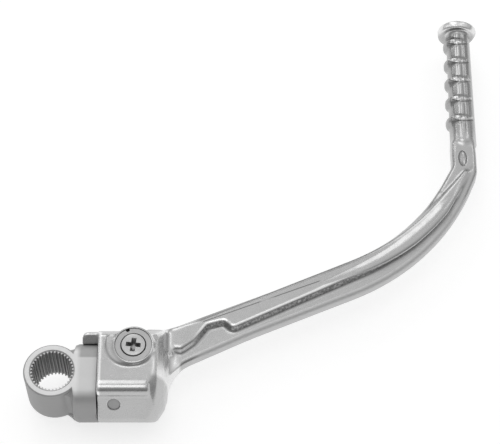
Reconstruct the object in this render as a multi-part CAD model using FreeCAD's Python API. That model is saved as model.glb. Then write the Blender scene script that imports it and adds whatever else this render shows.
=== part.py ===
import FreeCAD, Part
import math
import os

from FreeCAD import Vector

# Folding kick start lever, lying folded. Millimetres, Z up, origin on the
# axis of the splined bore, at the middle of its length.

# Splined ring
ring_outer_radius = 13.75
ring_length = 24.8
ring_edge_bevel = 0.7
tooth_count = 36
tooth_root_radius = 10.25
tooth_height = 0.8
tooth_root_flat = 0.36
tooth_tip_flat = 0.26
bore_chamfer = 0.55
bore_ledge = 0.06

# Round block beside the ring, in line with the fold axis
fold_axis_below_face = 14.5
block_radius = 18.8
block_start = 9.8
block_end = 21.3
pad_half_width = 7.8
neck_blend_radius = 2.6
under_blend_radius = 5.0
neck_radius = 16.6
block_edge_round = 2.2
block_edge_steps = 2
web_narrowing = 0.62

# Pivot post
post_radius = 8.5
post_end = 47.5
post_chamfer = 1.0
running_fit = 0.05
seat_gap = 0.05
fold_travel = 95.0

# Knuckle of the arm
seam_gap = 0.4
knuckle_end = 54.3
knuckle_back_radius = 25.2
front_slope_angle = 57.0
knuckle_edge_round = 5.5
knuckle_lower_round = 3.5
knuckle_end_round = 15.0
knuckle_end_flat = 7.2
knuckle_end_steps = 4
bore_floor_gap = 0.6

# Lug of the knuckle that reaches over the block
lug_reach = 8.0
lug_inner_clearance = 0.4
lug_outer_radius = 24.8
lug_low_angle = -35.0
lug_high_angle = 40.0
lug_corner_round = 2.2
lug_corner_steps = 2

# Retaining pin, its cover and screw
pin_radius = 4.5
pin_x = 38.65
pin_y = 10.8
pin_length = 27.0
pin_chamfer = 0.6
hub_radius = 10.0
hub_rise = 1.6
hub_edge_round = 0.5
hub_step_radius = 11.1
hub_step_rise = 0.8
hub_step_shift_x = 1.9
hub_step_shift_y = 0.9
hub_step_back = 6.0
cover_radius = 8.8
cover_thickness = 1.7
cover_sink = 0.4
cover_notch_radius = 0.95
cover_notch_inset = 0.5
cover_notch_angle = 110.0
screw_head_radius = 6.1
screw_shank_radius = 3.0
screw_length = 14.0
screw_edge_height = 0.35
recess_span = 7.2
recess_width = 2.2
recess_depth = 2.4

# Detent in the front face of the knuckle
detent_x = 29.7
plunger_radius = 2.5
plunger_length = 5.0
plunger_nose_length = 1.6
plunger_nose_radius = 1.1
track_depth = 1.0
track_side_gap = 0.15
seat_depth = 0.35
plug_radius = 3.0
plug_thickness = 3.0
plug_recess = 0.25
spring_wire_width = 0.6
spring_coil_radius = 1.9
spring_turns = 2

# Dust seal
seal_x = 24.0
seal_width = 1.8
seal_depth = 1.8

# Pedal, on the far end of the arm
pedal_x = 204.6
pedal_tip_y = 208.6
pedal_length = 75.5
pedal_lean = 0.7
pedal_nose_length = 1.8
pedal_nose_radius = 5.4
pedal_low_radius = 6.9
pedal_high_radius = 6.1
grip_rib_count = 5
grip_rib_pitch = 12.15
grip_rib_rise = 2.1
grip_rib_half_length = 3.25
grip_rib_sink = 0.3
grip_rib_steps = 3
grip_rib_from_tip = 60.2
flange_radius = 10.0
flange_thickness = 3.6
flange_steps = 4
flange_neck_round = 2.4
flange_neck_steps = 2

# Arm plate, and its thicker foot under the pedal
plate_half_thickness = 3.6
plate_edge_bevel = 1.3
arm_overlap = 14.0
arm_front_y = -7.6
arm_throat_y = 5.0
arm_throat_radius = 19.0
arm_waist_share = 0.2965
arm_waist_rise_share = 0.322
arm_waist_radius = 240.0
outer_bend_inset = 16.1
outer_bend_drop = 68.3
outer_bend_radius = 116.0
inner_bend_inset = 29.6
inner_bend_drop = 55.4
inner_bend_radius = 110.0
arm_back_y = 25.9
arm_back_run = 4.8
arm_back_radius = 25.0
foot_half_thickness = 5.2
foot_right_width = 5.8
foot_left_width = 6.8
foot_corner_drop = 12.6
foot_outer_drop = 16.6
foot_outer_radius = 10.0
foot_inner_radius = 10.0
foot_end_radius = 2.5
foot_reach = 4.0
foot_ramp_end_drop = 17.1
foot_ramp_length = 24.0
dimple_inset = 1.8
dimple_drop = 8.2
dimple_half_length = 4.6
dimple_radius = 2.3
dimple_depth = 1.0
root_blend_radius = 8.0
root_plateau_radius = 4.5
root_start_inset = 2.0
root_back_rise = 0.7
root_crest_front_y = 12.0

# Rib along the middle of the arm, on both faces
rib_height = 3.2
rib_side_run = 1.75
rib_root_y = 17.0
rib_back_y = 25.0
rib_nose_run = 6.2
rib_nose_y = 15.4
rib_heel_run = 12.2
rib_heel_y = 19.8
rib_notch_run = 18.7
rib_notch_y = 28.6
rib_notch_end_run = 27.3
rib_notch_end_y = 31.0
rib_edge_run = 31.5
rib_edge_y = 27.0
rib_back_run = 15.7
rib_back_corner_y = 30.6
rib_corner_round = 2.0
rib_back_radius = 20.0
rib_outer_inset = 8.7
rib_outer_rise = 7.3
rib_outer_radius = 104.0
rib_inner_inset = 4.2
rib_inner_drop = 2.5
rib_inner_radius = 120.0
rib_tip_round = 0.35
rib_tip_shift = 2.2
rib_tip_reach = 3.6

# Values that follow
face_top = ring_length / 2
face_bottom = -ring_length / 2
axis_z = face_top - fold_axis_below_face
tooth_tip_radius = tooth_root_radius - tooth_height
knuckle_start = block_end + seam_gap
post_bore_radius = post_radius + running_fit
pin_bore_radius = pin_radius + seat_gap
knuckle_top = axis_z + block_radius
hub_top = knuckle_top + hub_rise
cover_top = hub_top - cover_sink
cover_bottom = cover_top - cover_thickness
pin_top = cover_bottom - seat_gap
plunger_tip = post_radius - track_depth + running_fit
plunger_back = plunger_tip + plunger_length
plug_outer = block_radius - plug_recess
plug_inner = plug_outer - plug_thickness
detent_bore_radius = plunger_radius + running_fit
crest_z = plate_half_thickness + rib_height
pedal_start_y = pedal_tip_y - pedal_length
grip_rib_first_y = pedal_tip_y - grip_rib_from_tip
foot_right_x = pedal_x + foot_right_width
foot_left_x = pedal_x - foot_left_width
foot_corner_y = pedal_start_y - foot_corner_drop
foot_outer_y = pedal_start_y - foot_outer_drop
foot_top_y = pedal_start_y + foot_reach
foot_ramp_end_y = pedal_start_y - foot_ramp_end_drop
foot_ramp_start_y = foot_ramp_end_y - foot_ramp_length
outer_bend_x = pedal_x - outer_bend_inset
outer_bend_y = pedal_start_y - outer_bend_drop
inner_bend_x = pedal_x - inner_bend_inset
inner_bend_y = pedal_start_y - inner_bend_drop
arm_waist_x = knuckle_end + (outer_bend_x - knuckle_end) * arm_waist_share
arm_waist_y = arm_throat_y + (outer_bend_y - arm_throat_y) * arm_waist_rise_share
dimple_x = pedal_x - dimple_inset
dimple_y = pedal_start_y - dimple_drop


def along(angle, radius):
    """Point in the plane across the fold axis, angle from +Y towards +Z."""
    turn = math.radians(angle)
    return Vector(0, radius * math.cos(turn), axis_z + radius * math.sin(turn))


def plan(u, v):
    return Vector(u, v, 0)


def side(u, v):
    return Vector(u, 0, v)


def across(u, v):
    return Vector(0, u, v)


def arc_points(center_u, center_v, radius, start, end, steps):
    """Points (u, v) along an arc, angles in degrees."""
    points = []
    for i in range(steps + 1):
        turn = math.radians(start + (end - start) * i / steps)
        points.append((center_u + radius * math.cos(turn), center_v + radius * math.sin(turn)))
    return points


def closed_face(points):
    return Part.Face(Part.makePolygon(list(points) + [points[0]]))


def sector(start_angle, end_angle, radius, low, high):
    """Wedge about the fold axis between two angles, from station low to high."""
    steps = 4
    points = [Vector(low, 0, axis_z)]
    for i in range(steps + 1):
        at = along(start_angle + (end_angle - start_angle) * i / steps, radius)
        points.append(Vector(low, at.y, at.z))
    return closed_face(points).extrude(Vector(high - low, 0, 0))


def outline(corners, place):
    """Closed wire through corners (u, v, radius), each rounded by a tangent arc."""
    count = len(corners)
    marks = []
    for i in range(count):
        u, v, radius = corners[i]
        before = corners[i - 1]
        after = corners[(i + 1) % count]
        here = Vector(u, v, 0)
        back = Vector(before[0], before[1], 0) - here
        ahead = Vector(after[0], after[1], 0) - here
        back.normalize()
        ahead.normalize()
        if radius == 0:
            marks.append((here, None, here))
            continue
        half = back.getAngle(ahead) / 2
        reach = radius / math.tan(half)
        bisector = back + ahead
        bisector.normalize()
        middle = here + bisector * (radius / math.sin(half) - radius)
        marks.append((here + back * reach, middle, here + ahead * reach))
    edges = []
    for i in range(count):
        start, middle, end = marks[i]
        following = marks[(i + 1) % count][0]
        if middle is not None:
            arc = Part.Arc(place(start.x, start.y), place(middle.x, middle.y), place(end.x, end.y))
            edges.append(arc.toShape())
        if (following - end).Length > 0.0001:
            edges.append(Part.makeLine(place(end.x, end.y), place(following.x, following.y)))
    return Part.Wire(edges)


def prism(wire, low, high, direction):
    face = Part.Face(wire)
    face.translate(direction * low)
    return face.extrude(direction * (high - low))


def rod(radius, start, end, center_y=0.0, center_z=None):
    """Cylinder along X between two stations."""
    z = axis_z if center_z is None else center_z
    return Part.makeCylinder(radius, end - start, Vector(start, center_y, z), Vector(1, 0, 0))


def upright(radius, low, high, x, y):
    return Part.makeCylinder(radius, high - low, Vector(x, y, low), Vector(0, 0, 1))


def mirrored(shape):
    return shape.mirror(Vector(0, 0, axis_z), Vector(0, 0, 1))


def spline_bore():
    """Prism with the outline of the toothed bore, longer than the ring."""
    pitch = 360.0 / tooth_count
    root_half = math.degrees(tooth_root_flat / tooth_root_radius)
    tip_half = math.degrees(tooth_tip_flat / tooth_tip_radius)
    edges = []

    def at(radius, turn):
        angle = math.radians(turn)
        return Vector(radius * math.cos(angle), radius * math.sin(angle), 0)

    for i in range(tooth_count):
        root_turn = i * pitch
        tip_turn = (i + 0.5) * pitch
        next_turn = (i + 1) * pitch
        root_end = at(tooth_root_radius, root_turn + root_half)
        tip_start = at(tooth_tip_radius, tip_turn - tip_half)
        tip_end = at(tooth_tip_radius, tip_turn + tip_half)
        edges.append(Part.makeLine(at(tooth_root_radius, root_turn - root_half), root_end))
        edges.append(Part.makeLine(root_end, tip_start))
        edges.append(Part.Arc(tip_start, at(tooth_tip_radius, tip_turn), tip_end).toShape())
        edges.append(Part.makeLine(tip_end, at(tooth_root_radius, next_turn - root_half)))
    return prism(Part.Wire(edges), face_bottom - 1, face_top + 1, Vector(0, 0, 1))


def block_section():
    """Section of the block: a circle with a flat pad at the level of the ring's face."""
    drop = fold_axis_below_face
    gap = block_radius - drop
    shoulder = (block_radius ** 2 - drop ** 2 - pad_half_width ** 2) / (2 * gap)
    center = (pad_half_width, face_top - shoulder)
    reach = math.hypot(center[0], center[1] - axis_z)
    tangent_y = center[0] / reach * block_radius
    tangent_z = axis_z + (center[1] - axis_z) / reach * block_radius
    bend_angle = math.atan2(tangent_z - center[1], tangent_y - center[0])
    middle_angle = (math.pi / 2 + bend_angle) / 2
    middle_y = center[0] + shoulder * math.cos(middle_angle)
    middle_z = center[1] + shoulder * math.sin(middle_angle)
    right = Part.Arc(
        across(pad_half_width, face_top), across(middle_y, middle_z), across(tangent_y, tangent_z)
    )
    left = Part.Arc(
        across(-tangent_y, tangent_z), across(-middle_y, middle_z), across(-pad_half_width, face_top)
    )
    around = Part.Arc(
        across(tangent_y, tangent_z),
        across(0, axis_z - block_radius),
        across(-tangent_y, tangent_z),
    )
    pad = Part.makeLine(across(-pad_half_width, face_top), across(pad_half_width, face_top))
    return Part.Wire([pad, right.toShape(), around.toShape(), left.toShape()])


def neck():
    """Waist between ring and block, with hollow blends on both sides and below."""
    blend_x = block_start - neck_blend_radius
    blend_y = math.sqrt((ring_outer_radius + neck_blend_radius) ** 2 - blend_x ** 2)
    scale = ring_outer_radius / (ring_outer_radius + neck_blend_radius)
    touch = (blend_x * scale, blend_y * scale)
    towards = Vector(touch[0] - blend_x, touch[1] - blend_y, 0) + Vector(neck_blend_radius, 0, 0)
    towards.normalize()
    middle = Vector(blend_x, blend_y, 0) + towards * neck_blend_radius
    back = Part.Arc(plan(*touch), plan(middle.x, middle.y), plan(block_start, blend_y))
    front = Part.Arc(plan(block_start, -blend_y), plan(middle.x, -middle.y), plan(touch[0], -touch[1]))
    closing = Part.makePolygon([plan(block_start, blend_y), plan(block_start, -blend_y)])
    inner = Part.makePolygon([plan(touch[0], -touch[1]), plan(touch[0], touch[1])])
    wire = Part.Wire([back.toShape(), closing.Edges[0], front.toShape(), inner.Edges[0]])
    waist = prism(wire, face_bottom, face_top, Vector(0, 0, 1))
    low = face_bottom - under_blend_radius
    start = block_start - under_blend_radius
    swing = under_blend_radius * math.sqrt(0.5)
    hollow = Part.Arc(
        side(start, face_bottom),
        side(start + swing, low + swing),
        side(block_start, low),
    )
    rest = Part.makePolygon(
        [side(block_start, low), side(block_start + 1, low), side(block_start + 1, face_bottom + 1)]
    )
    shut = Part.makePolygon([side(block_start + 1, face_bottom + 1), side(start, face_bottom + 1)])
    drop = Part.makePolygon([side(start, face_bottom + 1), side(start, face_bottom)])
    web_wire = Part.Wire([hollow.toShape()] + rest.Edges + shut.Edges + drop.Edges)
    web = prism(web_wire, -blend_y, blend_y, Vector(0, 1, 0))
    limit = prism(block_section(), 0, block_end, Vector(1, 0, 0))
    narrowed = outline_of_web(blend_y)
    ring_limit = prism(narrowed, face_bottom - under_blend_radius, face_bottom + 1, Vector(0, 0, 1))
    waist = waist.common(limit).common(rod(neck_radius, -ring_outer_radius, block_end))
    return waist.fuse(web.common(limit).common(ring_limit))


def outline_of_web(half_width):
    return outline(
        (
            (0, -ring_outer_radius * web_narrowing, 0),
            (block_start + 1, -half_width, 0),
            (block_start + 1, half_width, 0),
            (0, ring_outer_radius * web_narrowing, 0),
        ),
        plan,
    )


def turned(points):
    """Solid turned about the fold axis from points (x, radius)."""
    face = closed_face([Vector(x, 0, axis_z + radius) for x, radius in points])
    return face.revolve(Vector(0, 0, axis_z), Vector(1, 0, 0), 360)


def rounded_block():
    block = prism(block_section(), block_start, block_end, Vector(1, 0, 0))
    edge = arc_points(
        block_start + block_edge_round,
        block_radius - block_edge_round,
        block_edge_round,
        180.0,
        90.0,
        block_edge_steps,
    )
    far = [(block_end + 1, block_radius + 0.01), (block_end + 1, 0), (block_start, 0)]
    edge[-1] = (edge[-1][0], block_radius + 0.01)
    return block.common(turned(edge + far))


def pin_path():
    """Room that the retaining pin sweeps through the post over the fold."""
    inner = pin_y - pin_bore_radius
    low = pin_x - pin_bore_radius
    high = pin_x + pin_bore_radius
    deep = 2 * post_radius
    flat = Part.makeBox(high - low, post_radius, 2 * deep, Vector(low, inner, axis_z - deep))
    end = flat.copy()
    end.rotate(Vector(0, 0, axis_z), Vector(1, 0, 0), fold_travel)
    swept = sector(0.0, fold_travel, 2 * deep, low, high).cut(rod(inner, low - 1, high + 1))
    return flat.fuse(end).fuse(swept)


def detent_frame():
    """Angle of the detent bore in the folded position, from +Y towards +Z."""
    return 90.0 + front_slope_angle


def plunger_marks():
    """Turned track of the plunger round the post, with a deeper seat at each end."""
    half = plunger_radius + track_side_gap
    floor = post_radius - track_depth
    marks = rod(post_radius + 1, detent_x - half, detent_x + half).cut(
        rod(floor, detent_x - half - 1, detent_x + half + 1)
    )
    for turn in (0.0, fold_travel):
        angle = detent_frame() + turn
        base = along(angle, floor - seat_depth)
        outward = along(angle, 1) - along(angle, 0)
        wide = plunger_nose_radius + 1.0
        seat = Part.makeCone(
            plunger_nose_radius, wide, 1.0, Vector(detent_x, base.y, base.z), outward
        )
        marks = marks.fuse(seat)
    return marks


def seal_groove():
    half = seal_width / 2 + seat_gap
    outer = rod(post_radius + 1, seal_x - half, seal_x + half)
    return outer.cut(rod(post_radius - seal_depth - seat_gap, seal_x - half, seal_x + half))


def splined_boss():
    ring = upright(ring_outer_radius, face_bottom, face_top, 0, 0)
    ring = ring.makeChamfer(ring_edge_bevel, [e for e in ring.Edges if e.Closed])
    post = rod(post_radius, block_end - 1, post_end)
    tip = [e for e in post.Edges if e.Closed and e.BoundBox.XMin > post_end - 0.01]
    post = post.makeChamfer(post_chamfer, tip)
    post = post.cut(pin_path()).cut(plunger_marks()).cut(seal_groove())
    body = ring.fuse(neck()).fuse(rounded_block()).fuse(post)
    body = body.cut(spline_bore())
    narrow = tooth_root_radius + bore_ledge
    wide = narrow + bore_chamfer
    floor = face_top - bore_chamfer
    up = Vector(0, 0, 1)
    top = Part.makeCone(narrow, wide, bore_chamfer, Vector(0, 0, floor), up)
    bottom = Part.makeCone(wide, narrow, bore_chamfer, Vector(0, 0, face_bottom), up)
    return body.cut(top).cut(bottom).removeSplitter()


def knuckle_section():
    """Section across the fold axis: flat top and bottom, sloped front, round back."""
    bottom_z = axis_z - block_radius
    lean = math.radians(front_slope_angle / 2)
    corner = block_radius / math.cos(lean)
    top_front = (-corner * math.sin(lean), knuckle_top)
    mid_front = (
        -corner * math.sin(3 * lean),
        axis_z + corner * math.cos(3 * lean),
    )
    low_front_y = -block_radius * math.tan(math.radians(180 - 4 * front_slope_angle / 2) / 2)
    back_y = math.sqrt(knuckle_back_radius ** 2 - block_radius ** 2)
    front = outline(
        (
            (0, knuckle_top, 0),
            (top_front[0], top_front[1], knuckle_edge_round),
            (mid_front[0], mid_front[1], knuckle_lower_round),
            (low_front_y, bottom_z, knuckle_edge_round),
            (0, bottom_z, 0),
        ),
        across,
    )
    front_part = prism(front, knuckle_start, knuckle_end, Vector(1, 0, 0))
    arc = Part.Arc(
        across(back_y, knuckle_top), across(knuckle_back_radius, axis_z), across(back_y, bottom_z)
    )
    lines = Part.makePolygon(
        [across(back_y, bottom_z), across(0, bottom_z), across(0, knuckle_top), across(back_y, knuckle_top)]
    )
    back_part = prism(Part.Wire([arc.toShape()] + lines.Edges), knuckle_start, knuckle_end, Vector(1, 0, 0))
    return front_part.fuse(back_part).removeSplitter()


def end_profile(limit):
    """Points (x, radius) of the knuckle's rounded far end."""
    start_x = knuckle_start - 1
    bend_x = knuckle_end - knuckle_end_round
    rounded = arc_points(bend_x, knuckle_end_flat, knuckle_end_round, 90.0, 0.0, knuckle_end_steps)
    return [(start_x, 0), (start_x, limit), (bend_x, limit)] + rounded + [(knuckle_end, 0)]


def knuckle():
    """The section, with its far end turned in front and rolled off behind."""
    wide = 2 * knuckle_back_radius
    points = end_profile(wide)
    dome = turned(points)
    face = closed_face([Vector(x, 0, axis_z + radius) for x, radius in points])
    rolled = face.extrude(Vector(0, wide, 0))
    return knuckle_section().common(dome.fuse(rolled).fuse(mirrored(rolled)))


def arm_plan():
    """Outline of the arm seen along the bore: outer edge, foot, inner edge."""
    start_x = knuckle_end - arm_overlap
    return outline(
        (
            (start_x, arm_front_y, 0),
            (knuckle_end, arm_front_y, 0),
            (knuckle_end, arm_throat_y, arm_throat_radius),
            (arm_waist_x, arm_waist_y, arm_waist_radius),
            (outer_bend_x, outer_bend_y, outer_bend_radius),
            (foot_right_x, foot_outer_y, foot_outer_radius),
            (foot_right_x, foot_top_y, foot_end_radius),
            (foot_left_x, foot_top_y, foot_end_radius),
            (foot_left_x, foot_corner_y, foot_inner_radius),
            (inner_bend_x, inner_bend_y, inner_bend_radius),
            (knuckle_end - arm_back_run, arm_back_y, arm_back_radius),
            (start_x, arm_back_y, 0),
        ),
        plan,
    )


def arm_thickness():
    """Upper half of the side outline: level plate, double curve, thicker foot."""
    low = plate_half_thickness
    run = foot_ramp_length
    rise = foot_half_thickness - low
    radius = (run ** 2 + rise ** 2) / (4 * rise)
    swing = radius - math.sqrt(radius ** 2 - (run / 4) ** 2)
    start = across(foot_ramp_start_y, axis_z + low)
    middle = across(foot_ramp_start_y + run / 2, axis_z + low + rise / 2)
    end = across(foot_ramp_end_y, axis_z + foot_half_thickness)
    hollow = Part.Arc(start, across(foot_ramp_start_y + run / 4, axis_z + low + swing), middle)
    turn_y = foot_ramp_end_y - run / 4
    round_over = Part.Arc(middle, across(turn_y, axis_z + foot_half_thickness - swing), end)
    far_y = foot_top_y + foot_reach
    rest = Part.makePolygon(
        [
            end,
            across(far_y, axis_z + foot_half_thickness),
            across(far_y, axis_z),
            across(2 * arm_front_y, axis_z),
            across(2 * arm_front_y, axis_z + low),
            start,
        ]
    )
    return Part.Wire([hollow.toShape(), round_over.toShape()] + rest.Edges)


def arm_plate():
    wide = 2 * foot_right_x
    half = prism(arm_thickness(), 0, wide, Vector(1, 0, 0))
    tall = 2 * foot_half_thickness
    column = prism(arm_plan(), axis_z - tall, axis_z + tall, Vector(0, 0, 1))
    half = half.common(column)
    rims = []
    for edge in half.Edges:
        box = edge.BoundBox
        rim = box.YMax - box.YMin > 0.001 and box.XMax - box.XMin > 0.0001
        if rim and box.ZMin > axis_z + plate_half_thickness - 0.001 and box.XMax > knuckle_end + 0.5:
            rims.append(edge)
    half = half.makeChamfer(plate_edge_bevel, rims)
    return half.fuse(mirrored(half)).removeSplitter()


def root_curve(radius, level):
    """Side profile of a hollow blend that runs out on the given level."""
    start_x = knuckle_end - root_start_inset
    end_x = start_x + radius
    base = axis_z + level
    swing = radius * (1 - math.sqrt(0.5))
    hollow = Part.Arc(side(start_x, base + radius), side(start_x + swing, base + swing), side(end_x, base))
    back_x = start_x - 8
    rest = Part.makePolygon(
        [
            side(end_x, base),
            side(end_x, axis_z),
            side(back_x, axis_z),
            side(back_x, base + radius),
            side(start_x, base + radius),
        ]
    )
    return Part.Wire([hollow.toShape()] + rest.Edges)


def root():
    """Hollow blend from the knuckle's end down to the plate, above and below."""
    wide = 2 * knuckle_back_radius
    outer = prism(arm_plan(), axis_z - wide, axis_z + wide, Vector(0, 0, 1))
    reach = rod(knuckle_back_radius + root_back_rise, knuckle_end - 20, knuckle_end + 20)
    low = prism(root_curve(root_blend_radius, plate_half_thickness), -wide, wide, Vector(0, 1, 0))
    crest = prism(root_curve(root_plateau_radius, crest_z), root_crest_front_y, wide, Vector(0, 1, 0))
    half = low.fuse(crest).common(outer).common(reach)
    return half.fuse(mirrored(half))


def rib_plan():
    """Crest of the rib: it starts behind the knuckle, narrows, and ends in a point."""
    start_x = knuckle_end - root_start_inset
    return outline(
        (
            (start_x, rib_root_y, 0),
            (knuckle_end + rib_nose_run, rib_nose_y, rib_corner_round / 2),
            (knuckle_end + rib_heel_run, rib_heel_y, 2 * rib_corner_round),
            (knuckle_end + rib_notch_run, rib_notch_y, rib_corner_round),
            (knuckle_end + rib_notch_end_run, rib_notch_end_y, rib_corner_round),
            (knuckle_end + rib_edge_run, rib_edge_y, rib_corner_round),
            (outer_bend_x - rib_outer_inset, outer_bend_y + rib_outer_rise, rib_outer_radius),
            (pedal_x + rib_tip_shift, foot_ramp_end_y + rib_tip_reach, rib_tip_round),
            (inner_bend_x - rib_inner_inset, inner_bend_y - rib_inner_drop, rib_inner_radius),
            (knuckle_end + rib_back_run, rib_back_corner_y, rib_back_radius),
            (start_x, rib_back_y, 0),
        ),
        plan,
    )


def rib():
    crest = rib_plan()
    base = Part.Face(crest).makeOffset2D(rib_side_run, 2).OuterWire
    crest.translate(Vector(0, 0, axis_z + crest_z))
    base.translate(Vector(0, 0, axis_z + plate_half_thickness))
    upper = Part.makeLoft([base, crest], True, True)
    lower_base = base.copy()
    lower_base.translate(Vector(0, 0, -1))
    foot = Part.Face(lower_base).extrude(Vector(0, 0, 1))
    half = upper.fuse(foot)
    return half.fuse(mirrored(half))


def foot_dimple():
    """Shallow oval hollow in the foot's upper face."""
    radius = dimple_radius
    level = axis_z + foot_half_thickness + radius - dimple_depth
    half = dimple_half_length
    base = Vector(dimple_x, dimple_y, level)
    profile = [
        (half * math.cos(turn), radius * math.sin(turn))
        for turn in [math.radians(180 - 36 * i) for i in range(6)]
    ]
    face = closed_face([base + Vector(distance, y, 0) for y, distance in profile])
    return face.revolve(base, Vector(0, 1, 0), 360)


def pedal_radius(y):
    share = (y - pedal_start_y) / (pedal_tip_y - pedal_start_y)
    return pedal_low_radius + (pedal_high_radius - pedal_low_radius) * share


def turned_on_pedal(points, center_x):
    """Solid turned about a line along the pedal from points (radius, y)."""
    face = closed_face([Vector(center_x + radius, y, axis_z) for radius, y in points])
    return face.revolve(Vector(center_x, 0, axis_z), Vector(0, 1, 0), 360)


def grip_rib(y):
    """Round rib that stands out on the pedal's inner side and sinks in on the outer."""
    rise = grip_rib_rise
    half = grip_rib_half_length
    roll = (half ** 2 + rise ** 2) / (2 * rise)
    reach = math.degrees(math.asin(half / roll))
    crown = pedal_radius(y) + (rise - grip_rib_sink) / 2
    bulge = arc_points(crown - roll, y, roll, -reach, reach, grip_rib_steps)
    center_x = pedal_x - (rise + grip_rib_sink) / 2
    return turned_on_pedal([(0, y - half)] + bulge + [(0, y + half)], center_x)


def pedal():
    """Tapered shaft with half-round grip ribs on its inner side and an end flange."""
    near = pedal_tip_y - flange_thickness
    edge = flange_thickness / 2
    neck_radius = pedal_radius(near)
    neck_corner = neck_radius + flange_neck_round
    nose_end = pedal_start_y + pedal_nose_length
    hollow = arc_points(
        neck_corner, near - flange_neck_round, flange_neck_round, 180.0, 90.0, flange_neck_steps
    )
    rim = arc_points(flange_radius - edge, near + edge, edge, -90.0, 90.0, flange_steps)
    shaft = [(0, pedal_start_y), (pedal_nose_radius, pedal_start_y), (pedal_radius(nose_end), nose_end)]
    body = turned_on_pedal(shaft + hollow + rim + [(0, pedal_tip_y)], pedal_x)
    for i in range(grip_rib_count):
        body = body.fuse(grip_rib(grip_rib_first_y + i * grip_rib_pitch))
    body.rotate(Vector(pedal_x, foot_top_y, axis_z), Vector(0, 0, 1), -pedal_lean)
    return body


def lug():
    """Part of a thick tube that reaches from the knuckle over the block."""
    inner = block_radius + lug_inner_clearance
    start = knuckle_start - lug_reach
    end = knuckle_start + 1
    rounded = arc_points(
        start + lug_corner_round,
        lug_outer_radius - lug_corner_round,
        lug_corner_round,
        180.0,
        90.0,
        lug_corner_steps,
    )
    shell = turned([(end, inner), (start, inner)] + rounded + [(end, lug_outer_radius)])
    return shell.common(sector(lug_low_angle, lug_high_angle, 2 * lug_outer_radius, start - 1, end + 1))


def detent_bore():
    angle = detent_frame()
    center = along(angle, 0)
    outward = along(angle, 1) - center
    base = Vector(detent_x, center.y, center.z)
    channel = Part.makeCylinder(detent_bore_radius, plug_inner, base, outward)
    mouth = Part.makeCylinder(
        plug_radius, block_radius, base + outward * plug_inner, outward
    )
    return channel.fuse(mouth)


def hub():
    """Round seat of the cover, with a low wider step on its front and seam side."""
    seat = upright(hub_radius, axis_z, hub_top, pin_x, pin_y)
    rim = [e for e in seat.Edges if e.Closed and e.BoundBox.ZMin > hub_top - 0.01]
    seat = seat.makeChamfer(hub_edge_round, rim)
    step = upright(
        hub_step_radius,
        knuckle_top - 2,
        knuckle_top + hub_step_rise,
        pin_x - hub_step_shift_x,
        pin_y + hub_step_shift_y,
    )
    front = Part.makeBox(
        4 * hub_step_radius,
        4 * hub_step_radius,
        40,
        Vector(pin_x - 2 * hub_step_radius, pin_y + hub_step_back - 4 * hub_step_radius, axis_z),
    )
    return seat.fuse(step.common(front))


def kick_arm():
    body = knuckle().fuse(arm_plate()).fuse(root()).fuse(rib()).fuse(pedal())
    body = body.fuse(hub()).fuse(lug())
    body = body.cut(rod(post_bore_radius, knuckle_start - 1, post_end + bore_floor_gap))
    body = body.cut(upright(pin_bore_radius, pin_top - pin_length - seat_gap, hub_top + 1, pin_x, pin_y))
    body = body.cut(upright(cover_radius + seat_gap, cover_bottom, hub_top + 1, pin_x, pin_y))
    body = body.cut(head_cone(seat_gap)).cut(detent_bore()).cut(foot_dimple())
    return body.removeSplitter()


def retaining_pin():
    pin = upright(pin_radius, pin_top - pin_length, pin_top, pin_x, pin_y)
    foot = [e for e in pin.Edges if e.Closed and e.BoundBox.ZMax < pin_top - 1]
    pin = pin.makeChamfer(pin_chamfer, foot)
    hole = upright(screw_shank_radius + seat_gap, cover_top - screw_length - 1.5, pin_top + 1, pin_x, pin_y)
    return pin.cut(hole).cut(head_cone(seat_gap))


def head_cone(extra):
    """Countersunk shape of the screw head, grown by a clearance."""
    low = cover_top - screw_edge_height
    wide = screw_head_radius + extra
    height = screw_head_radius - screw_shank_radius
    cone = Part.makeCone(wide - height, wide, height, Vector(pin_x, pin_y, low - height), Vector(0, 0, 1))
    return cone.fuse(upright(wide, low, hub_top + 1, pin_x, pin_y))


def cap_washer():
    washer = upright(cover_radius, cover_bottom, cover_top, pin_x, pin_y)
    turn = math.radians(cover_notch_angle)
    notch_x = pin_x + (cover_radius - cover_notch_inset) * math.cos(turn)
    notch_y = pin_y + (cover_radius - cover_notch_inset) * math.sin(turn)
    notch = upright(cover_notch_radius, cover_bottom - 1, hub_top, notch_x, notch_y)
    through = upright(screw_shank_radius + seat_gap, cover_bottom - 1, cover_top, pin_x, pin_y)
    return washer.cut(notch).cut(head_cone(seat_gap)).cut(through)


def cap_screw():
    head = head_cone(0.0).common(upright(2 * screw_head_radius, cover_bottom - 10, cover_top, pin_x, pin_y))
    shank = upright(screw_shank_radius, cover_top - screw_length, cover_top - 1, pin_x, pin_y)
    screw = head.fuse(shank)
    half = recess_span / 2
    tip_half = half * 0.55
    for across_x in (True, False):
        points = []
        for u, v in ((-half, 0.01), (half, 0.01), (tip_half, -recess_depth), (-tip_half, -recess_depth)):
            if across_x:
                points.append(Vector(pin_x + u, pin_y - recess_width / 2, cover_top + v))
            else:
                points.append(Vector(pin_x - recess_width / 2, pin_y + u, cover_top + v))
        points.append(points[0])
        direction = Vector(0, recess_width, 0) if across_x else Vector(recess_width, 0, 0)
        screw = screw.cut(Part.Face(Part.makePolygon(points)).extrude(direction))
    return screw


def detent_direction():
    angle = detent_frame()
    return along(angle, 1) - along(angle, 0)


def detent_point(radius):
    at = along(detent_frame(), radius)
    return Vector(detent_x, at.y, at.z)


def detent_plug():
    radius = plug_radius - seat_gap / 2
    return Part.makeCylinder(radius, plug_thickness, detent_point(plug_inner), detent_direction())


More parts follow.
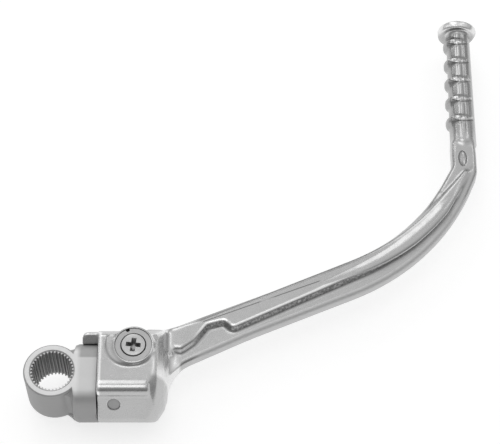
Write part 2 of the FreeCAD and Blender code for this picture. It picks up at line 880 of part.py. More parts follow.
def detent_plunger():
    nose_end = plunger_tip + plunger_nose_length
    nose = Part.makeCone(
        plunger_nose_radius,
        plunger_radius,
        plunger_nose_length,
        detent_point(plunger_tip),
        detent_direction(),
    )
    length = plunger_back - nose_end
    shank = Part.makeCylinder(plunger_radius, length, detent_point(nose_end), detent_direction())
    return nose.fuse(shank)


def detent_spring():
    """Coil of square wire between the plunger and the plug."""
    half = spring_wire_width / 2
    low = plunger_back + half + seat_gap
    high = plug_inner - half - seat_gap
    helix = Part.makeHelix((high - low) / spring_turns, high - low, spring_coil_radius)
    corners = []
    for u, v in ((-half, -half), (half, -half), (half, half), (-half, half), (-half, -half)):
        corners.append(Vector(spring_coil_radius + u, 0, v))
    section = Part.makePolygon(corners)
    coil = Part.Wire(helix.Edges).makePipeShell([section], True, True)
    turn = FreeCAD.Rotation(Vector(0, 0, 1), detent_direction())
    coil.Placement = FreeCAD.Placement(detent_point(low), turn)
    return coil


def dust_seal():
    low = seal_x - seal_width / 2
    high = seal_x + seal_width / 2
    ring = rod(post_radius, low, high)
    return ring.cut(rod(post_radius - seal_depth, low - 1, high + 1))


os.makedirs("parts", exist_ok=True)
for make in (
    kick_arm,
    splined_boss,
    retaining_pin,
    cap_washer,
    cap_screw,
    detent_plug,
    detent_spring,
    detent_plunger,
    dust_seal,
):
    shape = make()
    solids = shape.Solids
    solid = solids[0] if len(solids) == 1 else Part.makeCompound(solids)
    print(make.__name__, len(solids), round(shape.Volume, 1), shape.isValid())
    solid.exportStep("parts/" + make.__name__ + ".step")
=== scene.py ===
import math
import bpy
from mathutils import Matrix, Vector


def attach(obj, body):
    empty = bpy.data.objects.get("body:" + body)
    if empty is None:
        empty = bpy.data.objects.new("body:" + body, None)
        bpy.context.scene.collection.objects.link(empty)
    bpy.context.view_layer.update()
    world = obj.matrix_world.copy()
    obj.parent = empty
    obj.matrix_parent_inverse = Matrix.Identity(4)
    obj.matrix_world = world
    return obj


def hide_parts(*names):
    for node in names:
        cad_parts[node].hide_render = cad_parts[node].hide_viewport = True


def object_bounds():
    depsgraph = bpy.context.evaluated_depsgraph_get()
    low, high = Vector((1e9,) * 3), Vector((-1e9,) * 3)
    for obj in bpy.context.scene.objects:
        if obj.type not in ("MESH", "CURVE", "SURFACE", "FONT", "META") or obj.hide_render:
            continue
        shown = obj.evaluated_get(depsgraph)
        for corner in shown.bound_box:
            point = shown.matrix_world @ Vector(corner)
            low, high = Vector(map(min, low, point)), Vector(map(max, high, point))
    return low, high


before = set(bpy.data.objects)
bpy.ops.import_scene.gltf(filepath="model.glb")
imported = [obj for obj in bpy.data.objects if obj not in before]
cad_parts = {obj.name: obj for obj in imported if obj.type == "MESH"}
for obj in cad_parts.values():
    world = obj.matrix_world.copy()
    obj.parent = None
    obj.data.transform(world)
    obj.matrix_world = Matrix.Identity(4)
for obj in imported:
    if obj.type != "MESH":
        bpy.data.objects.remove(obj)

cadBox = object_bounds()
bpy.ops.object.select_all(action="DESELECT")


def grey(level):
    return (level, level, level, 1)


def addNode(tree, kind, **settings):
    node = tree.nodes.new(kind)
    for key, value in settings.items():
        setattr(node, key, value)
    return node


def feed(tree, value, socket):
    # a socket takes a link or a plain value
    if hasattr(value, "links"):
        tree.links.new(value, socket)
    else:
        socket.default_value = value


def newGroup(name, inputs, numbers, normals=()):
    # shader group with numbers going in, and numbers and normals coming out
    group = bpy.data.node_groups.new(name, "ShaderNodeTree")
    for label, value in inputs.items():
        socket = group.interface.new_socket(name=label, in_out="INPUT", socket_type="NodeSocketFloat")
        socket.default_value = value
    for kind, labels in (("NodeSocketFloat", numbers), ("NodeSocketVector", normals)):
        for label in labels:
            group.interface.new_socket(name=label, in_out="OUTPUT", socket_type=kind)
    return group, addNode(group, "NodeGroupInput").outputs


def finishGroup(group, results):
    end = addNode(group, "NodeGroupOutput")
    for label, source in results.items():
        feed(group, source, end.inputs[label])
    return group


def useGroup(tree, group, values):
    node = addNode(tree, "ShaderNodeGroup", node_tree=group)
    for label, value in values.items():
        feed(tree, value, node.inputs[label])
    return node.outputs


def mathNode(tree, operation, first, second=None, clamp=False):
    node = addNode(tree, "ShaderNodeMath", operation=operation, use_clamp=clamp)
    feed(tree, first, node.inputs[0])
    if second is not None:
        feed(tree, second, node.inputs[1])
    return node.outputs[0]


def chain(tree, operation, *values):
    total = values[0]
    for value in values[1:]:
        total = mathNode(tree, operation, total, value)
    return total


def product(tree, *values):
    return chain(tree, "MULTIPLY", *values)


def inverse(tree, mask):
    return mathNode(tree, "SUBTRACT", 1.0, mask)


def past(tree, value, edge):
    # mask that rises beyond an edge, which is a place in millimetres and the rise per millimetre
    place, rise = edge
    beyond = mathNode(tree, "SUBTRACT", value, place / 1000)
    return mathNode(tree, "MULTIPLY", beyond, rise * 1000, clamp=True)


def shortOf(tree, value, edge):
    # mask that is full before an edge and falls to nothing at it
    place, rise = edge
    left = mathNode(tree, "SUBTRACT", place / 1000, value)
    return mathNode(tree, "MULTIPLY", left, rise * 1000, clamp=True)


def closeTo(tree, offset, fall):
    # mask that is full where the offset is nothing and falls to both sides, per millimetre
    away = mathNode(tree, "MULTIPLY", mathNode(tree, "ABSOLUTE", offset), fall * 1000)
    return mathNode(tree, "SUBTRACT", 1.0, away, clamp=True)


def rampNode(tree, value, stops):
    node = addNode(tree, "ShaderNodeValToRGB")
    feed(tree, value, node.inputs[0])
    ramp = node.color_ramp
    while len(ramp.elements) < len(stops):
        ramp.elements.new(0.5)
    for element, (place, level) in zip(ramp.elements, stops):
        element.position = place
        element.color = grey(level)
    return node.outputs[0]


def noiseNode(tree, place, scale, detail, rough):
    node = addNode(tree, "ShaderNodeTexNoise")
    for label, value in (("Vector", place), ("Scale", scale), ("Detail", detail), ("Roughness", rough)):
        feed(tree, value, node.inputs[label])
    return node.outputs["Fac"]


def mixColour(tree, factor, first, second):
    node = addNode(tree, "ShaderNodeMix", data_type="RGBA")
    for slot, value in ((0, factor), (6, first), (7, second)):
        feed(tree, value, node.inputs[slot])
    return node.outputs[2]


def coords(tree, kind):
    return addNode(tree, "ShaderNodeTexCoord").outputs[kind]


def split(tree, kind):
    # x, y and z of a kind of coordinates
    node = addNode(tree, "ShaderNodeSeparateXYZ")
    feed(tree, coords(tree, kind), node.inputs[0])
    return node.outputs


def makeSoftEdges():
    # rounds hard edges for the light and finds the edges, which are painted lighter as rubbed wear and as a
    # painted highlight
    group, given = newGroup("softEdges", {"Radius": 0.0008, "Amount": 1.0}, ("Edge",), ("Normal",))
    bevel = addNode(group, "ShaderNodeBevel", samples=8)
    feed(group, given["Radius"], bevel.inputs["Radius"])
    bend = addNode(group, "ShaderNodeVectorMath", operation="DOT_PRODUCT")
    feed(group, bevel.outputs[0], bend.inputs[0])
    feed(group, addNode(group, "ShaderNodeNewGeometry").outputs["Normal"], bend.inputs[1])
    bentEdge = mathNode(group, "MULTIPLY", inverse(group, bend.outputs["Value"]), 6.0, clamp=True)
    edge = mathNode(group, "MULTIPLY", bentEdge, given["Amount"], clamp=True)
    return finishGroup(group, {"Normal": bevel.outputs[0], "Edge": edge})


def makeForgedSkin():
    # slight unevenness of a forging: soft waves, grain, pits and rub marks
    inputs = {"Wave Scale": 90.0, "Grain Scale": 1400.0, "Grain Share": 0.35, "Pit Share": 0.25}
    group, given = newGroup("forgedSkin", inputs, ("Height", "Cloud", "Rub"))
    place = coords(group, "Object")
    wave = noiseNode(group, place, given["Wave Scale"], 2.0, 0.5)
    grain = noiseNode(group, place, given["Grain Scale"], 2.0, 0.5)
    pits = addNode(group, "ShaderNodeTexVoronoi")
    feed(group, place, pits.inputs["Vector"])
    feed(group, 420.0, pits.inputs["Scale"])
    pitMask = rampNode(group, pits.outputs["Distance"], ((0.0, 0.0), (0.22, 1.0)))
    grainPart = mathNode(group, "MULTIPLY", grain, given["Grain Share"])
    pitPart = mathNode(group, "MULTIPLY", pitMask, given["Pit Share"])
    stretched = addNode(group, "ShaderNodeMapping")
    feed(group, place, stretched.inputs["Vector"])
    feed(group, (1.0, 1.0, 5.0), stretched.inputs["Scale"])
    rubNoise = noiseNode(group, stretched.outputs[0], 260.0, 4.0, 0.7)
    results = {
        "Height": chain(group, "ADD", grainPart, pitPart, wave),
        "Cloud": noiseNode(group, place, 38.0, 5.0, 0.6),
        "Rub": rampNode(group, rubNoise, ((0.42, 0.0), (0.68, 1.0))),
    }
    return finishGroup(group, results)


def makeGrooveShade():
    # painted shade that gathers in narrow grooves and corners, made patchy by noise
    group, given = newGroup("grooveShade", {"Reach": 0.004, "Amount": 0.8}, ("Mask",))
    closed = addNode(group, "ShaderNodeAmbientOcclusion", samples=8)
    feed(group, given["Reach"], closed.inputs["Distance"])
    patch = mathNode(group, "ADD", noiseNode(group, coords(group, "Object"), 300.0, 3.0, 0.6), 0.5)
    shade = mathNode(group, "MULTIPLY", inverse(group, closed.outputs["AO"]), patch)
    mask = mathNode(group, "MULTIPLY", shade, given["Amount"], clamp=True)
    return finishGroup(group, {"Mask": mask})


# marks along the pedal, with places and edges in millimetres
pedalMarks = {
    "axisX": 204.6,
    "fromY": (137.0, 0.16),
    "toY": (202.5, 1.0),
    "wanderScale": 60.0,
    "wander": 0.2,
    "stripeReach": 5.0,  # from the axis outwards; the stops of the stripes are shares of it
    "stripes": ((0.11, 0.0), (0.19, 1.0), (0.27, 0.0), (0.76, 0.0), (0.86, 0.4), (0.95, 0.0)),
    "ribsY": (142.325, 0.4),
    "ribPitch": 12.15,
    "ribShadeLine": 3.975,  # from the start of a pitch to the painted shade line at the foot of a grip rib on the shaft
    "ribBow": 0.07,  # bend of that line per square millimetre from the axis
    "ribShadeLineFall": 2.0,
    "glintBeyond": 1.4,
    "glintFall": 0.9,
    "sparkle": ((0.46, 0.0), (0.54, 1.0)),
    "shaftHalf": (5.8, 1.5),
    "middleHalf": (3.0, 0.9),
    "middleShare": 0.1,
    "flangeY": (203.2, 1.5),
    "flangeShare": 0.75,
    "topGain": 4.0,
    "endGain": 3.0,
}


def makePolishAndPaintedLight(marks):
    # polishing lines along the pedal as bumps, painted shade stripes along the shaft, and painted shade and
    # highlights where its grip ribs cross the shaft
    group, given = newGroup("polishAndPaintedLight", {"Line Scale": 3300.0}, ("Lines", "Stripe", "Glint", "Where"))
    place = coords(group, "Object")
    x, y, z = split(group, "Object")
    facingX, facingY, facingZ = split(group, "Normal")
    fromAxis = mathNode(group, "SUBTRACT", x, marks["axisX"] / 1000)
    aside = mathNode(group, "ABSOLUTE", fromAxis)
    where = product(group, past(group, y, marks["fromY"]), shortOf(group, y, marks["toY"]))
    topSide = mathNode(group, "MULTIPLY", facingZ, marks["topGain"], clamp=True)
    endFace = mathNode(group, "MULTIPLY", mathNode(group, "ABSOLUTE", facingY), marks["endGain"], clamp=True)
    sideFace = inverse(group, endFace)
    drift = noiseNode(group, place, marks["wanderScale"], 2.0, 0.5)
    wander = mathNode(group, "MULTIPLY", drift, marks["wander"] / 1000)
    turned = mathNode(group, "MULTIPLY", mathNode(group, "ADD", fromAxis, wander), given["Line Scale"])
    # painted shade: dark reflection stripes along the shaft, a strong pair near its middle and a fainter
    # pair towards its sides
    outward = mathNode(group, "MULTIPLY", aside, 1000 / marks["stripeReach"], clamp=True)
    stripe = product(group, rampNode(group, outward, marks["stripes"]), where, sideFace)
    # each grip rib crosses the shaft as a bowed line of painted shade with a painted highlight beyond it
    fromRib = mathNode(group, "SUBTRACT", y, marks["ribsY"][0] / 1000)
    inPitch = mathNode(group, "MODULO", fromRib, marks["ribPitch"] / 1000)
    bow = product(group, fromAxis, fromAxis, marks["ribBow"] * 1000)
    offLine = chain(group, "SUBTRACT", inPitch, marks["ribShadeLine"] / 1000, bow)
    offGlint = mathNode(group, "SUBTRACT", offLine, marks["glintBeyond"] / 1000)
    onShaft = shortOf(group, aside, marks["shaftHalf"])
    ribPart = product(group, onShaft, past(group, y, marks["ribsY"]), where, topSide)
    ribShadeLine = product(group, closeTo(group, offLine, marks["ribShadeLineFall"]), ribPart)
    sparkle = rampNode(group, noiseNode(group, place, 700.0, 1.0, 0.5), marks["sparkle"])
    ribGlint = product(group, closeTo(group, offGlint, marks["glintFall"]), sparkle, ribPart)
    # painted highlight along the middle of the shaft and on the top of the flange
    nearMiddle = shortOf(group, aside, marks["middleHalf"])
    middle = product(group, nearMiddle, sideFace, where, topSide, marks["middleShare"])
    flange = product(group, past(group, y, marks["flangeY"]), topSide, marks["flangeShare"])
    results = {
        "Lines": mathNode(group, "COSINE", turned),
        "Stripe": mathNode(group, "MAXIMUM", stripe, ribShadeLine),
        "Glint": chain(group, "MAXIMUM", ribGlint, middle, flange),
        "Where": where,
    }
    return finishGroup(group, results)


# zones of the arm and the knuckle, with places and edges in millimetres
armMarks = {
    "fromX": (66.0, 0.2),
    "toY": (132.0, 0.2),
    "bendX": (140.0, 0.025),
    "belowCrest": (4.78, 20.0),
    "belowPlate": (1.56, 20.0),
    "abovePlate": (1.7, 4.0),
    "underCrest": (4.62, 2.5),
    "nearCrest": (4.2, 4.0),
    "crestTo": (182.0, 0.045),
    "leaning": ((0.0005, 0.0), (0.006, 1.0)),  # stops over the tilt away from +Z
    "edgeLeaning": ((0.0008, 0.0), (0.008, 1.0)),
    "steep": ((0.10, 0.0), (0.26, 1.0)),
    "speckle": ((0.40, 0.2), (0.58, 1.0)),
    "sideGain": 12.0,
    "lineSlope": 0.3932,
    "lineY": 1.76,
    "lineFall": 2.4,
    "lineTo": (147.0, 0.3),
    "lineBreaks": ((0.46, 0.0), (0.50, 1.0)),
    "wallFrom": (46.2, 0.8),
    "wallTo": (61.0, 0.8),
    "wallBack": (-5.0, 0.5),
    "wallGain": 3.0,
    "edgeTo": (24.2, 1.5),
    "edgeAbove": (12.0, 0.5),
    "edgeGain": -14.0,
}


def makeArmZones(marks):
    # painted shade on the back rim and on the rib's flanks (speckled like cast skin), painted light on the
    # lower rim and the knuckle's wall, a painted shade line along a crease, painted highlights on edges
    labels = ("Rim", "Flank", "Lower Rim", "Crease Shade", "Crest", "Throat")
    group, given = newGroup("armZones", {"Bend Fade": 0.8}, labels)
    place = coords(group, "Object")
    x, y, z = split(group, "Object")
    facingX, facingY, facingZ = split(group, "Normal")
    tilt = inverse(group, facingZ)
    inward = mathNode(group, "SUBTRACT", facingY, facingX)
    toBack = mathNode(group, "MULTIPLY", inward, marks["sideGain"], clamp=True)
    toFront = mathNode(group, "MULTIPLY", inward, -marks["sideGain"], clamp=True)
    onArm = product(group, past(group, x, marks["fromX"]), shortOf(group, y, marks["toY"]))
    fading = inverse(group, product(group, past(group, x, marks["bendX"]), given["Bend Fade"]))
    leaning = rampNode(group, tilt, marks["leaning"])
    belowCrest = shortOf(group, z, marks["belowCrest"])
    # painted shade on the rib's steep flanks between the plate and the rib's crest, speckled like cast skin
    onFlank = product(group, past(group, z, marks["abovePlate"]), shortOf(group, z, marks["underCrest"]))
    steep = rampNode(group, tilt, marks["steep"])
    speckle = rampNode(group, noiseNode(group, place, 900.0, 3.0, 0.7), marks["speckle"])
    # a broken line of painted shade along the plate's crease, parallel to the arm's back edge
    lineY = mathNode(group, "ADD", mathNode(group, "MULTIPLY", x, marks["lineSlope"]), marks["lineY"] / 1000)
    onLine = closeTo(group, mathNode(group, "SUBTRACT", y, lineY), marks["lineFall"])
    breaks = rampNode(group, noiseNode(group, place, 75.0, 1.0, 0.5), marks["lineBreaks"])
    # painted highlights on the rib's front edge and the knuckle's left edge
    onRibEdge = product(group, past(group, z, marks["nearCrest"]), shortOf(group, x, marks["crestTo"]))
    edgeLeaning = rampNode(group, tilt, marks["edgeLeaning"])
    ribEdge = product(group, onRibEdge, edgeLeaning, toFront, belowCrest, onArm)
    onLeft = product(group, shortOf(group, x, marks["edgeTo"]), past(group, z, marks["edgeAbove"]))
    toLeft = mathNode(group, "MULTIPLY", facingX, marks["edgeGain"], clamp=True)
    # painted light on the wall where the knuckle drops to the arm
    onWall = product(group, past(group, x, marks["wallFrom"]), shortOf(group, x, marks["wallTo"]))
    toRight = mathNode(group, "MULTIPLY", facingX, marks["wallGain"], clamp=True)
    results = {
        # Rim: painted shade where the plate's back rim leans away from the top
        "Rim": product(group, belowCrest, leaning, onArm, toBack, fading),
        "Flank": product(group, onFlank, steep, speckle, onArm, fading),
        # Lower Rim: painted light where the plate's front rim leans towards the camera side
        "Lower Rim": product(group, shortOf(group, z, marks["belowPlate"]), leaning, toFront, onArm),
        "Crease Shade": product(group, onLine, breaks, shortOf(group, x, marks["lineTo"]), onArm),
        "Crest": mathNode(group, "MAXIMUM", ribEdge, product(group, onLeft, toLeft)),
        "Throat": product(group, onWall, toRight, past(group, y, marks["wallBack"])),
    }
    return finishGroup(group, results)


softEdges = makeSoftEdges()
forgedSkin = makeForgedSkin()
grooveShade = makeGrooveShade()
polishAndPaintedLight = makePolishAndPaintedLight(pedalMarks)
armZones = makeArmZones(armMarks)
print("stage: shader groups made")

# faces of the boss, lighter where machined and as painted light on the tops, with painted shade on the
# block's back; edges in millimetres
bossMarks = {
    "square": ((0.80, 0.0), (0.97, 1.0)),
    "blockX": (11.5, 0.5),
    "blockShare": 0.35,
    "backY": (6.2, 0.9),
}


def machinedAndLitFaces(tree, marks):
    # faces square to the bore, painted lighter where a cutter has gone and as painted light on the tops:
    # full on the ring, less on the block's front, and none on the block's back, which keeps painted shade
    x, y, z = split(tree, "Object")
    facingX, facingY, facingZ = split(tree, "Normal")
    onBlock = past(tree, x, marks["blockX"])
    back = product(tree, past(tree, y, marks["backY"]), onBlock)
    paintedZone = mathNode(tree, "MAXIMUM", back, product(tree, onBlock, marks["blockShare"]))
    square = rampNode(tree, mathNode(tree, "ABSOLUTE", facingZ), marks["square"])
    return product(tree, square, inverse(tree, paintedZone))


def addBump(tree, shader, height, look):
    bump = addNode(tree, "ShaderNodeBump")
    feed(tree, look["bumpStrength"], bump.inputs["Strength"])
    feed(tree, look["bumpDistance"], bump.inputs["Distance"])
    feed(tree, height, bump.inputs["Height"])
    feed(tree, bump.outputs[0], shader.inputs["Normal"])
    return bump


def newMaterial(name):
    material = bpy.data.materials.new(name)
    material.use_nodes = True
    return material, material.node_tree


def makeMetal(name, look):
    material, tree = newMaterial(name)
    shader = tree.nodes["Principled BSDF"]
    feed(tree, look["metallic"], shader.inputs["Metallic"])
    edges = useGroup(tree, softEdges, {"Radius": look["edgeRadius"], "Amount": look["edgeWearHighlight"]})
    grain = {
        "Wave Scale": look["waveScale"],
        "Grain Scale": look["grainScale"],
        "Grain Share": look["grainShare"],
        "Pit Share": look["pitShare"],
    }
    skin = useGroup(tree, forgedSkin, grain)
    grooveShadeMask = useGroup(tree, grooveShade, {"Reach": look["shadeReach"], "Amount": look["shadeAmount"]})["Mask"]
    colour = mixColour(tree, skin["Cloud"], look["darkColour"], look["lightColour"])
    if "machinedLitColour" in look:
        # lighter on machined faces, which also stands in as painted light on their tops; painted shade at
        # the block's back
        colour = mixColour(tree, machinedAndLitFaces(tree, bossMarks), colour, look["machinedLitColour"])
    # edges painted lighter: rubbed wear and a painted highlight
    colour = mixColour(tree, edges["Edge"], colour, look["edgeWearHighlightColour"])
    height = skin["Height"]
    dulled = product(tree, grooveShadeMask, look["shadeDulls"])
    if "pedalColour" in look:
        pedalZones = useGroup(tree, polishAndPaintedLight, {"Line Scale": look["lineScale"]})
        zones = useGroup(tree, armZones, {"Bend Fade": look["bendFade"]})
        # painted shade, painted light and painted highlights from the pedal and arm zones, over the pedal's
        # own tone
        tints = (
            (pedalZones["Where"], "pedalColour"),
            (pedalZones["Stripe"], "shadeLineColour"),
            (pedalZones["Glint"], "highlightColour"),
            (zones["Rim"], "rimShadeColour"),
            (zones["Flank"], "flankShadeColour"),
            (zones["Lower Rim"], "lowerRimLightColour"),
            (zones["Throat"], "throatLightColour"),
            (zones["Crest"], "highlightColour"),
            (zones["Crease Shade"], "shadeLineColour"),
        )
        for mask, tint in tints:
            colour = mixColour(tree, mask, colour, look[tint])
        # the painted shade flanks and the painted light lower rim are made rougher
        paintedZone = mathNode(tree, "MAXIMUM", zones["Flank"], zones["Lower Rim"])
        dulled = mathNode(tree, "ADD", dulled, product(tree, paintedZone, look["paintedZoneDulls"]))
        lines = product(tree, pedalZones["Lines"], pedalZones["Where"], look["lineShare"])
        height = mathNode(tree, "ADD", height, lines)
    # painted shade in grooves and corners darkens the colour
    feed(tree, mixColour(tree, grooveShadeMask, colour, look["shadeColour"]), shader.inputs["Base Color"])
    rough = mathNode(tree, "ADD", product(tree, skin["Rub"], look["roughSpan"]), look["roughness"])
    feed(tree, mathNode(tree, "ADD", rough, dulled, clamp=True), shader.inputs["Roughness"])
    bump = addBump(tree, shader, height, look)
    feed(tree, edges["Normal"], bump.inputs["Normal"])
    return material


def makeRubber(name, look):
    material, tree = newMaterial(name)
    shader = tree.nodes["Principled BSDF"]
    place = coords(tree, "Object")
    cloud = noiseNode(tree, place, look["cloudScale"], 4.0, 0.6)
    colour = mixColour(tree, cloud, look["darkColour"], look["lightColour"])
    feed(tree, colour, shader.inputs["Base Color"])
    rough = mathNode(tree, "ADD", product(tree, cloud, look["roughSpan"]), look["roughness"])
    feed(tree, rough, shader.inputs["Roughness"])
    addBump(tree, shader, noiseNode(tree, place, look["grainScale"], 2.0, 0.5), look)
    return material


def dress(nodeName, material):
    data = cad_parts[nodeName].data
    data.materials.clear()
    data.materials.append(material)


# polished forging of the arm
armLook = {
    "metallic": 1.0,
    "lightColour": grey(0.54),
    "darkColour": grey(0.46),
    # edge colour: rubbed wear and a painted highlight
    "edgeWearHighlightColour": grey(0.80),
    # colour of the painted shade in grooves and corners
    "shadeColour": grey(0.07),
    # painted shade on the back rim and on the rib's flanks
    "rimShadeColour": grey(0.26),
    "flankShadeColour": grey(0.26),
    # painted light on the lower rim and on the knuckle's wall
    "lowerRimLightColour": grey(0.62),
    "throatLightColour": grey(0.81),
    # colour of the painted highlights on edges, grip ribs and flange
    "highlightColour": grey(0.88),
    "pedalColour": grey(0.41),
    # colour of the painted shade stripes and lines
    "shadeLineColour": grey(0.12),
    "edgeRadius": 0.0008,
    "edgeWearHighlight": 0.5,
    "shadeReach": 0.0024,
    "shadeAmount": 1.25,
    "shadeDulls": 0.35,
    "paintedZoneDulls": 0.35,
    "bendFade": 0.8,
    "waveScale": 110.0,
    "grainScale": 1500.0,
    "grainShare": 0.10,
    "pitShare": 0.05,
    "roughness": 0.24,
    "roughSpan": 0.06,
    "lineScale": 3300.0,
    "lineShare": 0.35,
    "bumpStrength": 0.2,
    "bumpDistance": 0.0004,
}
forgedAluminium = makeMetal("forgedAluminium", armLook)
dress("kick_arm", forgedAluminium)

# bead-blasted boss with matt grain
bossLook = {
    "metallic": 0.5,
    # colour of machined faces, also standing in as painted light
    "machinedLitColour": grey(0.79),
    "lightColour": grey(0.48),
    "darkColour": grey(0.39),
    "edgeWearHighlightColour": grey(0.85),
    "shadeColour": grey(0.14),
    "edgeRadius": 0.0008,
    "edgeWearHighlight": 0.5,
    "shadeReach": 0.003,
    "shadeAmount": 0.4,
    "shadeDulls": 0.35,
    "waveScale": 200.0,
    "grainScale": 3200.0,
    "grainShare": 0.5,
    "pitShare": 0.15,
    "roughness": 0.5,
    "roughSpan": 0.08,
    "bumpStrength": 0.25,
    "bumpDistance": 0.00015,
}
blastedSteel = makeMetal("blastedSteel", bossLook)
dress("splined_boss", blastedSteel)

# turned and plated small parts
fittingLook = {
    "metallic": 1.0,
    "lightColour": grey(0.56),
    "darkColour": grey(0.46),
    "edgeWearHighlightColour": grey(0.80),
    "shadeColour": grey(0.04),
    "edgeRadius": 0.0004,
    "edgeWearHighlight": 0.6,
    "shadeReach": 0.002,
    "shadeAmount": 1.0,
    "shadeDulls": 0.35,
    "waveScale": 260.0,
    "grainScale": 2600.0,
    "grainShare": 0.3,
    "pitShare": 0.1,
    "roughness": 0.34,
    "roughSpan": 0.1,
    "bumpStrength": 0.2,
    "bumpDistance": 0.00015,
}
brightSteel = makeMetal("brightSteel", fittingLook)
for nodeName in ("retaining_pin", "cap_screw", "detent_spring", "detent_plunger"):
    dress(nodeName, brightSteel)

coverLook = dict(fittingLook, lightColour=grey(0.48), darkColour=grey(0.38), shadeAmount=0.35)
coverSteel = makeMetal("coverSteel", coverLook)
dress("cap_washer", coverSteel)

plugLook = dict(fittingLook, lightColour=grey(0.45), darkColour=grey(0.36), roughness=0.5)
plugSteel = makeMetal("plugSteel", plugLook)
dress("detent_plug", plugSteel)

# rubber ring at the mouth of the knuckle's bore
sealLook = {
    "darkColour": (0.018, 0.018, 0.019, 1),
    "lightColour": grey(0.045),
    "cloudScale": 500.0,
    "grainScale": 2500.0,
    "roughness": 0.45,
    "roughSpan": 0.2,
    "bumpStrength": 0.3,
    "bumpDistance": 0.0001,
}
dress("dust_seal", makeRubber("sealRubber", sealLook))
print("stage: metals and rubber on the nodes")


def only(piece):
    bpy.ops.object.select_all(action="DESELECT")
    piece.select_set(True)
    bpy.context.view_layer.objects.active = piece


def applyModifier(piece, kind, **settings):
    only(piece)
    modifier = piece.modifiers.new(kind.lower(), kind)
    for key, value in settings.items():
        setattr(modifier, key, value)
    bpy.ops.object.modifier_apply(modifier=modifier.name)


def cutWith(piece, cutter, solver):
    applyModifier(piece, "BOOLEAN", operation="DIFFERENCE", solver=solver, object=cutter)
    bpy.data.objects.remove(cutter)


def joinTo(piece, extras):
    only(piece)
    for extra in extras:
        extra.select_set(True)
    bpy.ops.object.join()


def settle(piece):
    # puts the place of a piece into its mesh
    only(piece)
    bpy.ops.object.transform_apply(location=True, rotation=True, scale=True)
    return piece


def finishPiece(piece, angle, material):
    only(piece)
    bpy.ops.object.shade_smooth_by_angle(angle=math.radians(angle))
    piece.data.materials.clear()
    piece.data.materials.append(material)
    return piece


def rodBetween(start, end, radius, sides=64):
    # closed rod between two points given in millimetres
    begin = Vector(start) / 1000
    run = Vector(end) / 1000 - begin
    bpy.ops.object.select_all(action="DESELECT")
    bpy.ops.mesh.primitive_cylinder_add(
        vertices=sides, radius=radius / 1000, depth=run.length, location=begin + run / 2
    )
    piece = bpy.context.object
    piece.rotation_euler = run.to_track_quat("Z", "Y").to_euler()
    return settle(piece)


def eggAt(place, size):
    # ball drawn out to three half lengths, in millimetres
    bpy.ops.object.select_all(action="DESELECT")
    bpy.ops.mesh.primitive_uv_sphere_add(segments=64, ring_count=32, radius=0.001)
    piece = bpy.context.object
    piece.scale = size
    piece.location = [value / 1000 for value in place]
    return settle(piece)


# the forging of the arm with the soft edges that forging and polishing leave, in millimetres
softArmShape = {
    "voxel": 0.6,
    "axisZ": -2.1,
    "slopeAngle": 147.0,  # direction of the plug, from +Y towards +Z
    "plugX": 29.7,
    "pinX": 38.65,
    "pinY": 10.8,
    "bores": (  # axis, span filled before the smoothing, span cut after it, radius
        ("post", (21.7, 48.1), (18.0, 48.1), 8.6),
        ("pin", (-10.9, 18.3), (-10.9, 20.0), 4.6),
        ("pin", (16.15, 18.3), (16.15, 20.0), 8.92),
        ("plug", (0.0, 18.8), (0.0, 20.0), 2.6),
        ("plug", (15.5, 18.8), (15.5, 20.0), 3.06),
    ),
    "fillExtra": 0.4,
    "beadStart": (21.75, -9.6, 13.25),
    "beadEnd": (46.2, -9.6, 13.25),
    "beadRadius": 3.95,
    "rimStart": (204.6, 204.0, -2.1),
    "rimEnd": (204.7, 208.4, -2.1),
    "rimRadius": 9.7,
    "rimRound": 0.9,
    "crownLine": ((78.0, 28.8), (147.0, 60.5), (175.3, 73.6), (193.0, 99.0), (206.8, 119.6)),
    "barStart": 112.0,
    "barRadii": (2.6, 3.9, 4.5, 4.1, 0.9),
    "barHeight": 0.6,
    "barMiddle": 2.9,
    "barLean": 0.16,
    "barShift": 1.1,
    "nosePlace": (204.75, 137.5, -1.6),
    "noseSize": (6.3, 9.5, 6.0),
    "dimplePlace": (203.2, 124.6, 3.3),
    "dimpleSize": (2.3, 4.8, 1.5),
    "smoothShare": 0.5,
    "smoothTurns": 5,
    "pedalFrom": 134.0,
    "pedalShare": 0.45,  # weaker there, for the grip ribs
    "crownStart": 92.0,
    "crownRun": 50.0,
    "crownReach": 8.0,
    "crownFade": 4.0,
    "crownTurns": 6,
    "footX": 190.0,
    "softSpans": (  # axis, middle, half length, lowest height and turns
        ("x", 54.0, 8.0, 0.5, 22),
        ("y", 134.5, 6.5, 0.5, 16),
    ),
    "smoothAngle": 40.0,
}


def crownPoints(line):
    # middle line of the rib: straight, round the bend, straight to the tip
    first, bendStart, corner, bendEnd, tip = [Vector((x, y, 0)) for x, y in line]
    points = [first.lerp(bendStart, i / 8) for i in range(9)]
    for i in range(1, 13):
        share = i / 12
        points.append(bendStart.lerp(corner, share).lerp(corner.lerp(bendEnd, share), share))
    points += [bendEnd.lerp(tip, i / 4) for i in range(1, 5)]
    return points


